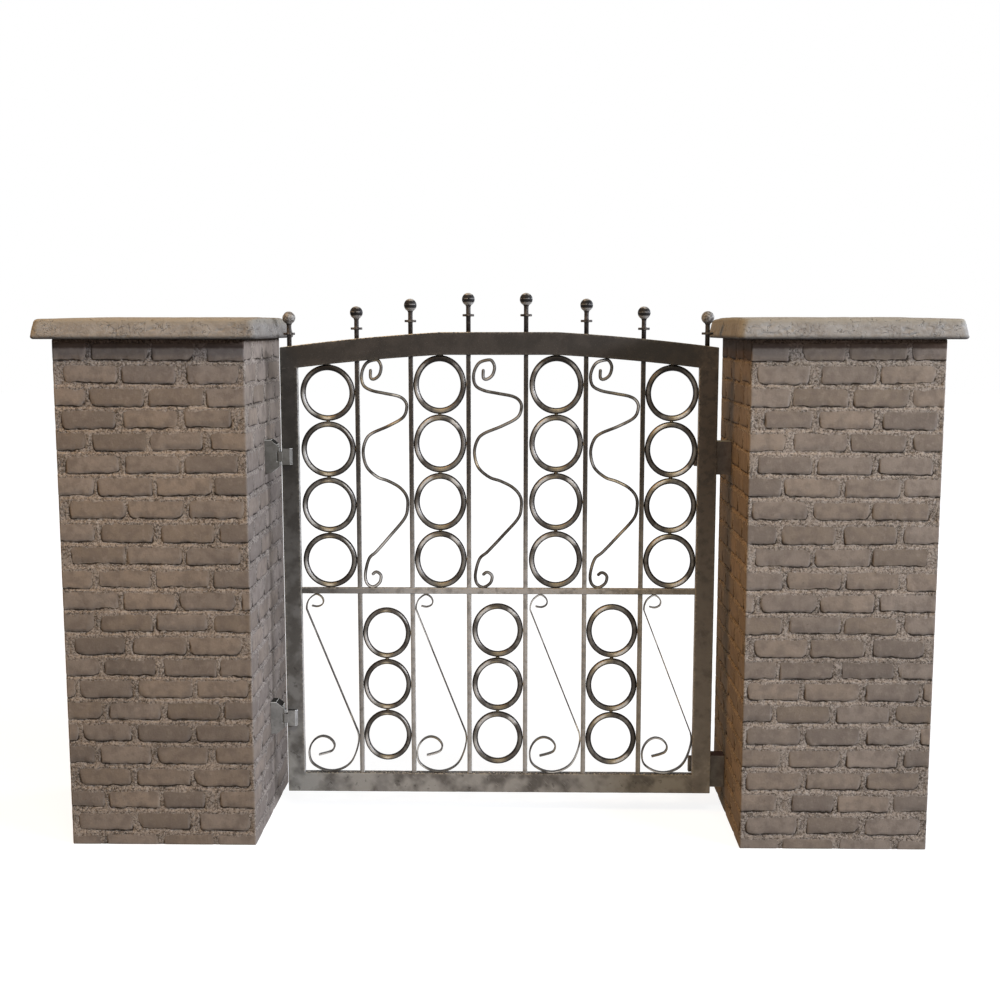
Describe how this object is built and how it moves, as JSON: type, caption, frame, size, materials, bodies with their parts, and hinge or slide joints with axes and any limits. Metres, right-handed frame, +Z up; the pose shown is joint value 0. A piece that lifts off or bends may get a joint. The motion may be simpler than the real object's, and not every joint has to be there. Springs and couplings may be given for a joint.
{
  "type": "metal garden gate",
  "caption": "Arched single-leaf metal garden gate of rings and scrolls, hung to swing between two square brick pillars with flat stone caps",
  "frame": {"origin": "On the ground, midway between the two pillars and at the middle of their depth", "axes": "+X runs along the gate from the hinge pillar to the stop pillar, +Y from the front to the back, +Z up; the leaf swings open towards -Y"},
  "size_m": [2.978, 0.716, 1.8445],
  "materials": {
    "brickwork": "rough tumbled clay brick",
    "cap_stone": "weathered flat slab",
    "frame_steel": "worn dark weathered steel",
    "scroll_steel": "rubbed grey-brown bar",
    "hinge_steel": "smooth dull grey"
  },
  "bodies": {
    "posts": {"left_pillar": "brickwork", "left_pillar_cap": "cap_stone", "right_pillar": "brickwork", "right_pillar_cap": "cap_stone", "upper_hinge_bracket": "hinge_steel", "lower_hinge_bracket": "hinge_steel", "upper_hinge_pin": "hinge_steel", "lower_hinge_pin": "hinge_steel", "upper_stop_bracket": "hinge_steel", "lower_stop_bracket": "hinge_steel"},
    "gate": {"upper_hinge_strap": "hinge_steel", "lower_hinge_strap": "hinge_steel", "hinge_stile": "frame_steel", "free_stile": "frame_steel", "top_rail": "frame_steel", "middle_rail": "frame_steel", "bottom_rail": "frame_steel", "bar_1": "frame_steel", "bar_2": "frame_steel", "bar_3": "frame_steel", "bar_4": "frame_steel", "bar_5": "frame_steel", "bar_6": "frame_steel", "finial_1": "frame_steel", "finial_2": "frame_steel", "finial_3": "frame_steel", "finial_4": "frame_steel", "finial_5": "frame_steel", "finial_6": "frame_steel", "finial_7": "frame_steel", "finial_8": "frame_steel", "upper_ring_column_1": "scroll_steel", "upper_ring_column_2": "scroll_steel", "upper_ring_column_3": "scroll_steel", "upper_ring_column_4": "scroll_steel", "lower_ring_column_1": "scroll_steel", "lower_ring_column_2": "scroll_steel", "lower_ring_column_3": "scroll_steel", "wave_scroll_1": "scroll_steel", "wave_scroll_2": "scroll_steel", "wave_scroll_3": "scroll_steel", "s_scroll_1": "scroll_steel", "s_scroll_2": "scroll_steel", "s_scroll_3": "scroll_steel", "s_scroll_4": "scroll_steel"}
  },
  "joints": [
    {"name": "gate_swing", "type": "hinge", "parent": "posts", "child": "gate", "pos_m": [-0.761, -0.004, 0], "axis": [0, 0, -1], "range_deg": [0, 90]}
  ]
}
